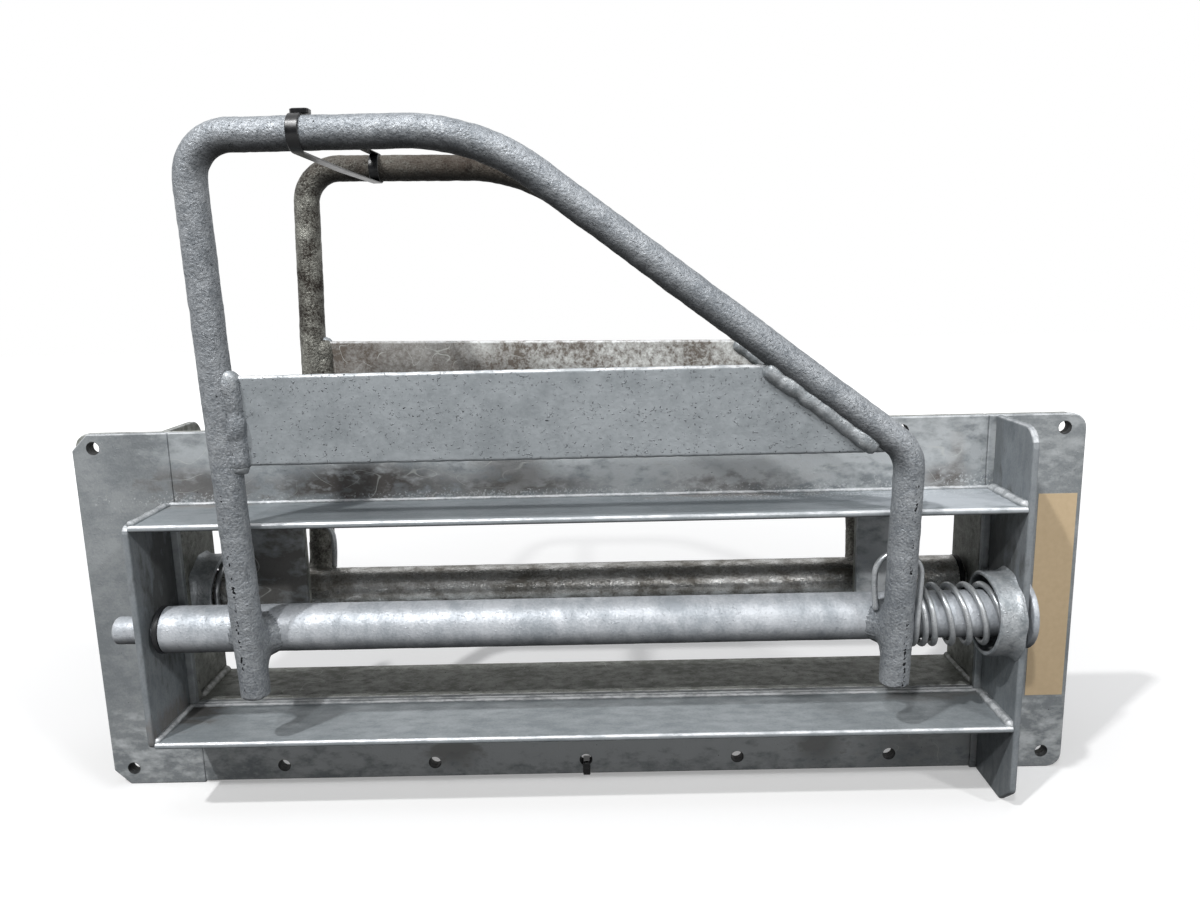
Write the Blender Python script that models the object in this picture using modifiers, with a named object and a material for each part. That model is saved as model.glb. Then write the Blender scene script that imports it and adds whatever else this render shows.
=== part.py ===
"""Pair of bolt-on anti-backing gates for a cattle race, tied back to back for storage.

Metres, +Z up, +X to the right of the photographed front. The plane y = 0 lies between the two
flanges, and the origin is at the middle of the footprint, on the ground. Each unit is a flange of
welded flats with a box frame in front of it, and a bent round-bar hoop that turns on a fixed
shaft against a torsion spring.
"""

import math

import bmesh
import bpy
import numpy as np
from mathutils import Matrix, Vector

MM = 0.001
FIT = 0.3 * MM

# Flange of one unit, in the plane behind its box frame
FLANGE_HALF = 470 * MM
FLANGE_HEIGHT = 354 * MM
FLANGE_WIDTH = 90 * MM
FLANGE_BACK = -0.15 * MM
STEEL = 6 * MM
BOTTOM_STRIP = (2 * MM, 86 * MM)
TOP_STRIP = (264 * MM, 354 * MM)
HOLE_RADIUS = 6 * MM
HOLE_PITCH = 150 * MM
HOLE_ROWS = (17 * MM, 341 * MM)
FREE_CORNER = 15 * MM
SPRING_CORNER = 14 * MM

# Box frame of 75 x 6 flats
FRONT = -81 * MM
BOX_HALF = 392 * MM
SHELF_TOP_Z = (279.5 * MM, 285.5 * MM)
SHELF_BOTTOM_Z = (76.7 * MM, 82.7 * MM)
PLATE_CORNER = 7 * MM
TALL_CORNER = 18 * MM
STOP_X = (262 * MM, 312 * MM)
STOP_Z = (142 * MM, 263.7 * MM)
ROLLED_EDGE = 1.1 * MM
SHELF_NOSE = 2.6 * MM
PLATE_EDGE = 1.7 * MM

# Shaft, tube and bushes on the hinge line
AXIS_Y = -51.5 * MM
AXIS_Z = 180 * MM
TUBE_RADIUS = 21.2 * MM
TUBE_BORE = 18 * MM
TUBE_HALF = 376.4 * MM
SHAFT_RADIUS = 12.5 * MM
SHAFT_FREE_END = -424.6 * MM
SHAFT_DOME = 5 * MM
SHAFT_HEAD = (396 * MM, 401.5 * MM)
SHAFT_HEAD_RADIUS = 32 * MM
BUSH_RADIUS = 21.6 * MM
BUSH_FLANGE = 4.6 * MM
BUSH_LENGTH = 30 * MM
COLLAR_RADIUS = 38 * MM
COLLAR_WALL = 3.5 * MM
COLLAR_START = 364 * MM

# Hoop of round bar, drawn in its own plane as (x, height above the hinge line)
BAR_RADIUS = 12.8 * MM
TALL_X = -289 * MM
LOW_X = 276.5 * MM
MIRROR_SHIFT = 13 * MM
HOOP_TOP = 421.5 * MM
SHOULDER_FROM_TALL = 223.3 * MM
LOW_VERTEX = 163.6 * MM
LEG_END = -49 * MM
LEG_BEND = 34 * MM
SHOULDER_BEND = 170 * MM
INFILL_Z = (163.5 * MM, 238.8 * MM)

# Torsion spring
WIRE_RADIUS = 2.75 * MM
COIL_RADIUS = 26 * MM
FRONT_PASSES = [296.3, 304.0, 311.5, 326.5, 341.5, 356.5, 371.5]
COIL_LEANS = [1.2, 1.5, 2.0, 3.3, 3.3, 3.3, 3.3]
TURNS = 6.25
CURL_POINTS = 10
HOOK_X = 278.7 * MM
HOOK_RADIUS = 20.3 * MM
HOOK_ARCH_Z = 226 * MM
HOOK_ARCH_Y = -74.9 * MM
HOOK_END = (260.2 * MM, -75.4 * MM, 194.5 * MM)

# Cable ties
TIE_THICK = 1.4 * MM
TOP_TIE_X = -205 * MM
TOP_TIE_WIDTH = 9 * MM
BOTTOM_TIE_X = 0.5 * MM
BOTTOM_TIE_WIDTH = 7 * MM

# The legs rest on the lower front edge of the top shelf, which sets how far the hoop leans out
BAR_OFFSET = TUBE_RADIUS + BAR_RADIUS + FIT
EDGE_Y = FRONT - AXIS_Y
EDGE_Z = SHELF_TOP_Z[0] - AXIS_Z
EDGE_REACH = math.hypot(EDGE_Y, EDGE_Z)
LEAN = math.acos((BAR_OFFSET - BAR_RADIUS - FIT) / EDGE_REACH) - math.atan2(EDGE_Z, -EDGE_Y)

for old in list(bpy.data.objects):
    bpy.data.objects.remove(old, do_unlink=True)

parts = bpy.data.collections.new("anti_backing_gate")
cutters = bpy.data.collections.new("cutters")
bpy.context.scene.collection.children.link(parts)
bpy.context.scene.collection.children.link(cutters)


def finish(name, colour, metallic, roughness):
    """A Principled material in the finish of one kind of piece."""
    material = bpy.data.materials.new(name)
    material.use_nodes = True
    shader = material.node_tree.nodes["Principled BSDF"]
    shader.inputs["Base Color"].default_value = (*colour, 1)
    shader.inputs["Metallic"].default_value = metallic
    shader.inputs["Roughness"].default_value = roughness
    return material


ZINC_FLAT = finish("galvanised_flat", (0.30, 0.31, 0.32), 0.9, 0.55)
ZINC_TUBE = finish("galvanised_tube", (0.42, 0.43, 0.45), 0.9, 0.42)
ZINC_BAR = finish("galvanised_bar", (0.33, 0.34, 0.36), 0.9, 0.6)
SPRING_STEEL = finish("zinc_plated_wire", (0.5, 0.5, 0.51), 0.95, 0.35)
BLACK_NYLON = finish("black_nylon", (0.012, 0.012, 0.013), 0, 0.35)


def add_object(name, data, parent, material, collection=parts):
    """Places one object under its parent and gives it a material of its own."""
    obj = bpy.data.objects.new(name, data)
    collection.objects.link(obj)
    obj.parent = parent
    if material:
        own = material.copy()
        own.name = name + "_material"
        data.materials.clear()
        data.materials.append(own)
    return obj


def add_empty(name, parent=None, location=(0, 0, 0), rotation=(0, 0, 0)):
    empty = bpy.data.objects.new(name, None)
    parts.objects.link(empty)
    empty.parent = parent
    empty.location = location
    empty.rotation_euler = rotation
    return empty


def smooth(mesh, degrees=35):
    mesh.shade_smooth()
    mesh.set_sharp_from_angle(angle=math.radians(degrees))


def round_edges(obj, width, segments):
    bevel = obj.modifiers.new("rounded_edges", "BEVEL")
    bevel.width = width
    bevel.segments = segments
    bevel.limit_method = "ANGLE"
    bevel.angle_limit = math.radians(40)


def block(name, low, high, parent, material, edge=ROLLED_EDGE, segments=2):
    """A flat bar between two opposite corners, with rolled edges."""
    low = Vector(low)
    high = Vector(high)
    size = high - low
    mesh = bpy.data.meshes.new(name)
    bm = bmesh.new()
    bmesh.ops.create_cube(bm, size=1)
    bmesh.ops.scale(bm, vec=size, verts=bm.verts)
    bm.to_mesh(mesh)
    bm.free()
    obj = add_object(name, mesh, parent, material)
    obj.location = (low + high) / 2
    if edge:
        round_edges(obj, edge, segments)
    return obj


def corner_arc(corner, before, after, radius, steps):
    """Points of an arc that rounds one corner of an outline."""
    corner = Vector(corner)
    to_before = (Vector(before) - corner).normalized()
    to_after = (Vector(after) - corner).normalized()
    half = to_before.angle(to_after) / 2
    reach = radius / math.tan(half)
    centre = corner + (to_before + to_after).normalized() * radius / math.sin(half)
    first = corner + to_before * reach - centre
    last = corner + to_after * reach - centre
    sweep = math.pi - 2 * half
    found = []
    for i in range(steps + 1):
        t = i / steps
        share = (math.sin((1 - t) * sweep) * first + math.sin(t * sweep) * last) / math.sin(sweep)
        found.append(tuple(centre + share))
    return found


def rounded(corners, radii, steps=6):
    """An outline with each corner rounded by its own radius, or left sharp at radius 0."""
    found = []
    for i, corner in enumerate(corners):
        if radii[i] == 0:
            found.append(tuple(corner))
        else:
            around = corners[i - 1], corners[(i + 1) % len(corners)]
            found += corner_arc(corner, *around, radii[i], steps)
    return found


def filled_curve(name, outlines, thickness, parent):
    """A flat 2D curve, filled and extruded by half its thickness on each side."""
    curve = bpy.data.curves.new(name, "CURVE")
    curve.dimensions = "2D"
    curve.fill_mode = "BOTH"
    curve.extrude = thickness / 2
    for outline in outlines:
        spline = curve.splines.new("POLY")
        spline.points.add(len(outline) - 1)
        spline.use_cyclic_u = True
        for point, (x, y) in zip(spline.points, outline):
            point.co = (x, y, 0, 1)
    return add_object(name, curve, parent, None)


def as_mesh(source, material, merge_caps=True):
    """Turns a curve object into a mesh object of the same name and place, with its caps welded."""
    bpy.context.view_layer.update()
    graph = bpy.context.evaluated_depsgraph_get()
    mesh = bpy.data.meshes.new_from_object(source.evaluated_get(graph))
    name, parent, world = source.name, source.parent, source.matrix_world.copy()
    bpy.data.objects.remove(source, do_unlink=True)
    bm = bmesh.new()
    bm.from_mesh(mesh)
    bmesh.ops.remove_doubles(bm, verts=bm.verts, dist=1e-6)
    if merge_caps:
        bmesh.ops.dissolve_limit(bm, angle_limit=1e-3, verts=bm.verts, edges=bm.edges)
    bmesh.ops.recalc_face_normals(bm, faces=bm.faces)
    bm.to_mesh(mesh)
    bm.free()
    mesh.name = name
    obj = add_object(name, mesh, parent, material)
    obj.matrix_world = world
    return obj


def plate(name, outline, thickness, location, rotation, parent, material, edge=ROLLED_EDGE, segments=2):
    """A flat plate of any outline, made in its own XY plane and turned into place."""
    flat = filled_curve(name, [outline], thickness, parent)
    flat.location = location
    flat.rotation_euler = rotation
    obj = as_mesh(flat, material)
    if edge:
        round_edges(obj, edge, segments)
    return obj


def drill(obj, points, direction, radius, depth, segments=24):
    """Cuts round holes along one direction, at points given in the frame of the object's parent."""
    mesh = bpy.data.meshes.new(obj.name + "_holes")
    bm = bmesh.new()
    turn = Vector((0, 0, 1)).rotation_difference(Vector(direction)).to_matrix().to_4x4()
    for point in points:
        bmesh.ops.create_cone(
            bm,
            cap_ends=True,
            segments=segments,
            radius1=radius,
            radius2=radius,
            depth=depth,
            matrix=Matrix.Translation(point) @ turn,
        )
    bm.to_mesh(mesh)
    bm.free()
    cutter = add_object(obj.name + "_holes", mesh, obj.parent, None, cutters)
    cutter.hide_render = True
    cutter.display_type = "WIRE"
    cut = obj.modifiers.new("holes", "BOOLEAN")
    cut.operation = "DIFFERENCE"
    cut.solver = "EXACT"
    cut.object = cutter


def turned(name, profile, closed, steps, parent, material):
    """A turned piece on the hinge line: the profile is (radius, x), from +X down the outer side."""
    mesh = bpy.data.meshes.new(name)
    bm = bmesh.new()
    verts = [bm.verts.new((radius, 0, x)) for radius, x in profile]
    for first, second in zip(verts, verts[1:]):
        bm.edges.new((first, second))
    if closed:
        bm.edges.new((verts[-1], verts[0]))
    bm.to_mesh(mesh)
    bm.free()
    smooth(mesh)
    obj = add_object(name, mesh, parent, material)
    obj.rotation_euler = (0, math.pi / 2, 0)
    screw = obj.modifiers.new("turn", "SCREW")
    screw.axis = "Z"
    screw.angle = math.tau
    screw.steps = steps
    screw.render_steps = steps
    screw.use_merge_vertices = True
    screw.merge_threshold = 1e-5
    screw.use_smooth_shade = True
    return obj


def rod(name, points, radius, resolution, parent, material, edge):
    """A round bar or wire along points, with closed ends whose rims are rounded."""
    curve = bpy.data.curves.new(name, "CURVE")
    curve.dimensions = "3D"
    curve.bevel_depth = radius
    curve.bevel_resolution = resolution
    curve.use_fill_caps = True
    spline = curve.splines.new("POLY")
    spline.points.add(len(points) - 1)
    for point, place in zip(spline.points, points):
        point.co = (*place, 1)
    obj = as_mesh(add_object(name, curve, parent, None), material, merge_caps=False)
    smooth(obj.data, 50)
    if edge:
        bevel = obj.modifiers.new("rounded_ends", "BEVEL")
        bevel.width = edge
        bevel.segments = 2
        bevel.limit_method = "ANGLE"
        bevel.angle_limit = math.radians(60)
    return obj


def bent_path(corners, radii, steps):
    """A path whose inner corners are bends of the given radii."""
    found = [corners[0]]
    for before, corner, after, radius, count in zip(corners, corners[1:], corners[2:], radii, steps):
        found += corner_arc(corner, before, after, radius, count)
    return [*found, corners[-1]]


def wire_gap(points, radius):
    """The least clear gap of a wire to itself, measured on points 1.5 mm apart or less."""
    points = np.array(points)
    steps = np.linalg.norm(np.diff(points, axis=0), axis=1)
    along = np.concatenate([[0], np.cumsum(steps)])
    fine = np.linspace(0, along[-1], int(along[-1] / (1.5 * MM)))
    places = np.stack([np.interp(fine, along, points[:, i]) for i in range(3)], axis=1)
    apart = np.linalg.norm(places[:, None] - places[None], axis=2)
    near = np.abs(fine[:, None] - fine[None]) < 8 * radius
    return apart[~near].min() - 2 * radius


def flange(tag, unit):
    """Four flats in one plane: two full-height sides with a top and a bottom strip between them."""
    middle_y = FLANGE_BACK - STEEL / 2
    inner = FLANGE_HALF - FLANGE_WIDTH
    upright = (math.pi / 2, 0, 0)
    sides = (("free", -1, FREE_CORNER, 1), ("spring", 1, SPRING_CORNER, 6))
    for side, sign, radius, steps in sides:
        corners = [(0, 0), (sign * FLANGE_WIDTH, 0), (sign * FLANGE_WIDTH, FLANGE_HEIGHT), (0, FLANGE_HEIGHT)]
        outline = rounded(corners, [0, radius, radius, 0], steps)
        strip = plate(
            f"{tag}_flange_{side}", outline, STEEL, (sign * inner, middle_y, 0), upright, unit, ZINC_FLAT
        )
        holes = [(sign * 3 * HOLE_PITCH, middle_y, z) for z in HOLE_ROWS]
        drill(strip, holes, (0, 1, 0), HOLE_RADIUS, 4 * STEEL)
    reach = inner - FIT
    for level, (low, high), row in (("bottom", BOTTOM_STRIP, 0), ("top", TOP_STRIP, 1)):
        strip = block(
            f"{tag}_flange_{level}",
            (-reach, FLANGE_BACK - STEEL, low),
            (reach, FLANGE_BACK, high),
            unit,
            ZINC_FLAT,
        )
        holes = [(i * HOLE_PITCH, middle_y, HOLE_ROWS[row]) for i in range(-2, 3)]
        drill(strip, holes, (0, 1, 0), HOLE_RADIUS, 4 * STEEL)


def box_frame(tag, unit):
    """Two shelves between two end plates, the one at the spring side over the full height."""
    back = FLANGE_BACK - STEEL - FIT
    inner = BOX_HALF - STEEL
    reach = inner - FIT
    turn = (math.pi / 2, 0, math.pi / 2)
    for level, (low, high) in (("top", SHELF_TOP_Z), ("bottom", SHELF_BOTTOM_Z)):
        section = [(FRONT, low), (back, low), (back, high), (FRONT, high)]
        nosed = rounded(section, [SHELF_NOSE, 0, 0, SHELF_NOSE], 5)
        shelf = plate(f"{tag}_shelf_{level}", nosed, 2 * reach, (0, 0, 0), turn, unit, ZINC_FLAT, 0)
        smooth(shelf.data)
    low, high = SHELF_BOTTOM_Z[0], SHELF_TOP_Z[1]
    short = [(FRONT, low), (back, low), (back, high), (FRONT, high)]
    outline = rounded(short, [PLATE_CORNER, 0, 0, PLATE_CORNER], 4)
    free = plate(
        f"{tag}_end_plate_short", outline, STEEL, (-inner - STEEL / 2, 0, 0), turn, unit, ZINC_FLAT, PLATE_EDGE, 3
    )
    cut_y = FRONT + 21 * MM
    tall = [(FRONT, 18 * MM), (cut_y, 0), (back, 0), (back, FLANGE_HEIGHT), (FRONT, FLANGE_HEIGHT)]
    outline = rounded(tall, [8 * MM, 5 * MM, 0, 0, TALL_CORNER], 5)
    full = plate(
        f"{tag}_end_plate_tall", outline, STEEL, (inner + STEEL / 2, 0, 0), turn, unit, ZINC_FLAT, PLATE_EDGE, 3
    )
    for end in (free, full):
        middle = (math.copysign(inner + STEEL / 2, 1 if end is full else -1), AXIS_Y, AXIS_Z)
        drill(end, [middle], (1, 0, 0), SHAFT_RADIUS + FIT, 4 * STEEL, 32)
    for side, sign in (("free", -1), ("spring", 1)):
        low_x, high_x = sorted(sign * x for x in STOP_X)
        block(
            f"{tag}_stop_{side}",
            (low_x, FLANGE_BACK - STEEL, STOP_Z[0]),
            (high_x, FLANGE_BACK, STOP_Z[1]),
            unit,
            ZINC_FLAT,
        )


def hinge_line(tag, hinge, gate):
    """The fixed shaft with its head, the spring collar, and the tube that turns on two bushes."""
    tip = SHAFT_FREE_END
    top = SHAFT_HEAD[0] - FIT
    dome = [
        (SHAFT_RADIUS * math.sin(a), tip + SHAFT_DOME * (1 - math.cos(a)))
        for a in np.linspace(math.pi / 2, 0, 5)
    ]
    turned(
        f"{tag}_pivot_shaft", [(0, top), (SHAFT_RADIUS, top), *dome[:-1], (0, tip)], False, 32, hinge, ZINC_TUBE
    )
    low, high = SHAFT_HEAD
    rim = 1 * MM
    disc = [
        (0, high),
        (SHAFT_HEAD_RADIUS - rim, high),
        (SHAFT_HEAD_RADIUS, high - rim),
        (SHAFT_HEAD_RADIUS, low + rim),
        (SHAFT_HEAD_RADIUS - rim, low),
        (0, low),
    ]
    turned(f"{tag}_shaft_head", disc, False, 40, hinge, ZINC_TUBE)

    seat = BOX_HALF - STEEL - FIT
    weld = 6 * MM
    collar = [
        (COLLAR_RADIUS + weld * 0.8, seat),
        (COLLAR_RADIUS + weld * 0.3, seat - weld * 0.45),
        (COLLAR_RADIUS, seat - weld),
        (COLLAR_RADIUS, COLLAR_START + 0.8 * MM),
        (COLLAR_RADIUS - 0.8 * MM, COLLAR_START),
        (COLLAR_RADIUS - COLLAR_WALL + 0.6 * MM, COLLAR_START),
        (COLLAR_RADIUS - COLLAR_WALL, COLLAR_START + 0.6 * MM),
        (COLLAR_RADIUS - COLLAR_WALL, seat),
    ]
    turned(f"{tag}_spring_collar", collar, True, 40, hinge, ZINC_TUBE)

    edge = 0.7 * MM
    tube = [
        (TUBE_RADIUS - edge, TUBE_HALF),
        (TUBE_RADIUS, TUBE_HALF - edge),
        (TUBE_RADIUS, -TUBE_HALF + edge),
        (TUBE_RADIUS - edge, -TUBE_HALF),
        (TUBE_BORE, -TUBE_HALF),
        (TUBE_BORE, TUBE_HALF),
    ]
    turned(f"{tag}_pivot_tube", tube, True, 32, gate, ZINC_TUBE)

    bore = SHAFT_RADIUS + FIT
    sleeve = TUBE_BORE - FIT
    start = TUBE_HALF + FIT
    for side, sign in (("free", -1), ("spring", 1)):
        bush = [
            (bore, start + BUSH_FLANGE),
            (BUSH_RADIUS, start + BUSH_FLANGE),
            (BUSH_RADIUS, start),
            (sleeve, start),
            (sleeve, start - BUSH_LENGTH),
            (bore, start - BUSH_LENGTH),
        ]
        if sign < 0:
            bush = [(radius, -x) for radius, x in reversed(bush)]
        turned(f"{tag}_bush_{side}", bush, True, 32, gate, BLACK_NYLON)


def hoop(tag, plane, mirrored):
    """Round bar bent over the race, and the flat welded across it."""
    tall, low = TALL_X, LOW_X
    if mirrored:
        tall, low = -(TALL_X + MIRROR_SHIFT), -(LOW_X + MIRROR_SHIFT)
    way = 1 if low > tall else -1
    shoulder = tall + way * SHOULDER_FROM_TALL
    corners = [
        (tall, 0, LEG_END),
        (tall, 0, HOOP_TOP),
        (shoulder, 0, HOOP_TOP),
        (low, 0, LOW_VERTEX),
        (low, 0, LEG_END),
    ]
    path = bent_path(corners, [LEG_BEND, SHOULDER_BEND, LEG_BEND], [9, 7, 6])
    rod(f"{tag}_hoop", path, BAR_RADIUS, 6, plane, ZINC_BAR, 2.5 * MM)

    slope = (LOW_VERTEX - HOOP_TOP) / (low - shoulder)
    inset = (BAR_RADIUS + FIT) * math.hypot(1, slope) / abs(slope)
    near = tall + way * (BAR_RADIUS + FIT)
    bottom, top = INFILL_Z
    far = [low + (z - LOW_VERTEX) / slope - way * inset for z in INFILL_Z]
    outline = [(near, bottom), (far[0], bottom), (far[1], top), (near, top)]
    plate(f"{tag}_infill", outline, STEEL, (0, 0, 0), (math.pi / 2, 0, 0), plane, ZINC_FLAT, 0.8 * MM)


def spring_path():
    """The hook behind the leg, then the coil round the tube into the collar."""
    end_x, end_y, end_z = HOOK_END
    points = [HOOK_END, (HOOK_X - HOOK_RADIUS, HOOK_ARCH_Y, HOOK_ARCH_Z - 12 * MM)]
    for i in range(9):
        angle = math.pi * (1 - i / 8)
        points.append(
            (
                HOOK_X + HOOK_RADIUS * math.cos(angle),
                HOOK_ARCH_Y,
                HOOK_ARCH_Z + HOOK_RADIUS * math.sin(angle),
            )
        )
    start = Vector((FRONT_PASSES[0] * MM, AXIS_Y - COIL_RADIUS, AXIS_Z))
    arch_end = Vector(points[-1])
    points += [tuple(arch_end.lerp(start, t)) for t in (0.35, 0.7)]
    passes = np.arange(len(FRONT_PASSES))
    for i in range(round(TURNS * CURL_POINTS) + 1):
        turn = i / CURL_POINTS
        angle = math.tau * (turn + 0.25)
        base = np.interp(turn, passes, FRONT_PASSES)
        if turn > passes[-1]:
            base = FRONT_PASSES[-1] + (turn - passes[-1]) * (FRONT_PASSES[-1] - FRONT_PASSES[-2])
        lean = np.interp(turn, passes, COIL_LEANS)
        start_share = min(turn / 0.5, 1)
        points.append(
            (
                (base - lean * math.cos(angle) * start_share) * MM,
                AXIS_Y - COIL_RADIUS * math.sin(angle),
                AXIS_Z + COIL_RADIUS * math.cos(angle),
            )
        )
    return points


def gate_unit(tag, turn, mirrored):
    """One whole unit, built facing -Y and then turned about the vertical."""
    unit = add_empty(f"{tag}_unit", None, (0, 0, 0), (0, 0, turn))
    flange(tag, unit)
    box_frame(tag, unit)
    hinge = add_empty(f"{tag}_hinge", unit, (0, AXIS_Y, AXIS_Z))
    gate = add_empty(f"{tag}_gate", hinge, (0, 0, 0), (LEAN, 0, 0))
    plane = add_empty(f"{tag}_hoop_plane", gate, (0, -BAR_OFFSET, 0))
    hinge_line(tag, hinge, gate)
    hoop(tag, plane, mirrored)
    path = spring_path()
    rod(f"{tag}_spring", path, WIRE_RADIUS, 1, unit, SPRING_STEEL, 0)
    print(f"{tag}_spring: least gap to itself {wire_gap(path, WIRE_RADIUS) / MM:.2f} mm")


def arc(centre, radius, first, last, steps):
    """Points of an arc in degrees, counter-clockwise when last is larger."""
    found = []
    for i in range(steps + 1):
        angle = math.radians(first + (last - first) * i / steps)
        found.append((centre[0] + radius * math.cos(angle), centre[1] + radius * math.sin(angle)))
    return found


def strap(name, outlines, x, width):
    """A cable tie as a band outline in the YZ plane, as wide as the strap."""
    band = filled_curve(name, outlines, width, None)
    band.location = (x, 0, 0)
    band.rotation_euler = (math.pi / 2, 0, math.pi / 2)
    return as_mesh(band, BLACK_NYLON, merge_caps=False)


def cable_ties():
    """The tie round both top bars, parted at y = 0, and the small one through the bottom holes."""
    bar_y = AXIS_Y - BAR_OFFSET * math.cos(LEAN) - HOOP_TOP * math.sin(LEAN)
    bar_z = AXIS_Z - BAR_OFFSET * math.sin(LEAN) + HOOP_TOP * math.cos(LEAN)
    inner = BAR_RADIUS + FIT
    outer = inner + TIE_THICK
    head = outer + 4 * MM
    part = FIT / 2
    front = [
        (-part, bar_z + outer),
        (bar_y + 11 * MM, bar_z + outer),
        (bar_y + 11 * MM, bar_z + head),
        (bar_y + 2 * MM, bar_z + head),
        (bar_y + 2 * MM, bar_z + outer),
        *arc((bar_y, bar_z), outer, 90, 270, 14),
        (-part, bar_z - outer),
        (-part, bar_z - inner),
        *arc((bar_y, bar_z), inner, 270, 90, 14),
        (-part, bar_z + inner),
    ]
    strap("top_tie_front", [front], TOP_TIE_X, TOP_TIE_WIDTH)

    meet = math.degrees(math.asin(inner / outer))
    rear = [
        (part, bar_z + outer),
        *arc((-bar_y, bar_z), outer, 90, -90, 14),
        (part, bar_z - outer),
        (part, bar_z - inner),
        *arc((-bar_y, bar_z), outer, 180 + meet, 180 - meet, 8),
        (part, bar_z + inner),
    ]
    ring = arc((-bar_y, bar_z), inner, 0, 345, 23)
    strap("top_tie_rear", [rear, ring], TOP_TIE_X, TOP_TIE_WIDTH)

    side = -FLANGE_BACK + STEEL + FIT
    low = BOTTOM_STRIP[0] - FIT
    high = HOLE_ROWS[0] - 4 * MM
    wall = TIE_THICK
    loop = rounded(
        [(-side, low), (side, low), (side, high), (-side, high)], [1.2 * MM] * 4, 3
    )
    around = [
        (-side - wall, low - wall),
        (side + wall, low - wall),
        (side + wall, high + wall),
        (-side - wall, high + wall),
        (-side - wall, high + 4 * MM),
        (-side - wall - 4 * MM, high + 4 * MM),
        (-side - wall - 4 * MM, high - 2.5 * MM),
        (-side - wall, high - 2.5 * MM),
    ]
    outline = rounded(around, [2 * MM, 2 * MM, 2 * MM, 0, 0.8 * MM, 0.8 * MM, 0.8 * MM, 0], 3)
    strap("bottom_tie", [outline, loop], BOTTOM_TIE_X, BOTTOM_TIE_WIDTH)


gate_unit("front", 0, False)
gate_unit("rear", math.pi, True)
cable_ties()
print(f"the hoop leans out {math.degrees(LEAN):.2f} degrees")
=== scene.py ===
# %% [markdown]
# # A pair of sprung anti-backing gates
# Two bolt-on gates for a cattle race stand back to back, tied together for storage. Each is a
# flange of welded flats with a box frame in front of it, and a bent bar hoop that turns on a shaft
# against a torsion spring. All the steel was hot-dip galvanised after welding, so one skin of zinc
# runs over bars, flats and welds alike. The CAD model gives every place and size. This lesson keeps
# its flats, makes the round pieces and the welds again in finer meshes, and gives all of them
# their finish.

# %% Load the CAD model as a fixed frame
import math
from functools import partial

import bpy
import numpy as np
from mathutils import Matrix, Vector


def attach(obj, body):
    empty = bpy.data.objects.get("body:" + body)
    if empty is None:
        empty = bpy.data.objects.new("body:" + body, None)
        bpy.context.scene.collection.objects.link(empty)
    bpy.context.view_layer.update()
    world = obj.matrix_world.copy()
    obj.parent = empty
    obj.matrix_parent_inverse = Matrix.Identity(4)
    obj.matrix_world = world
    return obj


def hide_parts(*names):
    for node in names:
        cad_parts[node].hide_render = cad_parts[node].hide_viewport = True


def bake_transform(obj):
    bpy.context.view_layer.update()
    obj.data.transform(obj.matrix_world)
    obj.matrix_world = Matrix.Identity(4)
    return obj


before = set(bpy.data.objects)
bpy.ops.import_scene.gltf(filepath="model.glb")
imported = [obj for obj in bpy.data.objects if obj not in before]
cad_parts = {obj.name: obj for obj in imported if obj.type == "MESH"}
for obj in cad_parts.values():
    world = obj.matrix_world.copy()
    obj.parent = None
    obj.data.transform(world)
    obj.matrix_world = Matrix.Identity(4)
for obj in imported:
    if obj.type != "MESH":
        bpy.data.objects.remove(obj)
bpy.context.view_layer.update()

MM = 0.001

# %% [markdown]
# ## Sizes
# These repeat the CAD model's numbers in millimetres, because the round pieces are made again
# along the same lines. A gate's hoop lies in a plane that leans out by a few degrees, so points on
# it are written as x and the height above the hinge line, and one function puts them in place. The
# rear unit is the front one turned round, except its hoop, which is the other hand.

# %% Sizes of the hinge line and the hoop
AXIS_Y, AXIS_Z = -51.5, 180.0
TUBE_R, TUBE_BORE, TUBE_HALF = 21.2, 18.0, 376.4
SHAFT_R, SHAFT_TIP, DOME_RISE, HEAD_R = 12.5, -424.6, 5, 32.0
BUSH_BORE, BUSH_SLEEVE, BUSH_RIM = 12.8, 17.7, 21.6
COLLAR_R, COLLAR_WALL, COLLAR_RIM, PLATE_IN = 38.0, 3.5, 364.0, 385.7
BAR_R, BAR_OFFSET = 12.8, 34.3
LEAN = math.radians(4.7262)
TALL_X, LOW_X, SHOULDER_X = -289.0, 276.5, -65.7
HOOP_TOP, LOW_CORNER, LEG_END = 421.5, 163.6, -49.0
BENDS = (34, 170, 34)
LEG_TILT, REAR_RISE = 4.5, 4.0
INFILL = (163.5, 238.8)
REAR_SHIFT = 13.0
HOLE_PITCH, HOLE_ROWS = 150.0, (17.0, 341.0)
TOWARDS_TUBE = np.array([0, math.cos(LEAN), math.sin(LEAN)])
UP_THE_LEG = np.array([0, -math.sin(LEAN), math.cos(LEAN)])


def on_hoop(x, height, inwards=0.0):
    """A point of the front hoop's plane in millimetres; inwards is towards the hinge line."""
    foot = np.array([x, AXIS_Y, AXIS_Z]) - BAR_OFFSET * TOWARDS_TUBE
    return foot + height * UP_THE_LEG + inwards * TOWARDS_TUBE


def as_unit(tag, points, other_hand=False):
    """Carries points of the front unit to the unit named, in metres."""
    points = np.asarray(points, float)
    if tag == "rear":
        points = points * [1, -1, 1] + [REAR_SHIFT, 0, 0] if other_hand else points * [-1, -1, 1]
    return points * MM


print("top of the front hoop at", on_hoop(0, HOOP_TOP).round(1), "mm")

# %% [markdown]
# ## Colours and nodes
# Colours are written as the sRGB hex values that one reads off a screen, and one function turns
# them into the linear numbers that a shader works with. A second one adds a shader node with its
# settings and its links, which are named, or else in the node's own order. So a MapRange node
# takes a value, where it starts and ends, and what it starts and ends as. A third one empties a
# tree and binds the second to it under the name add.

# %% Helpers for materials


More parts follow.
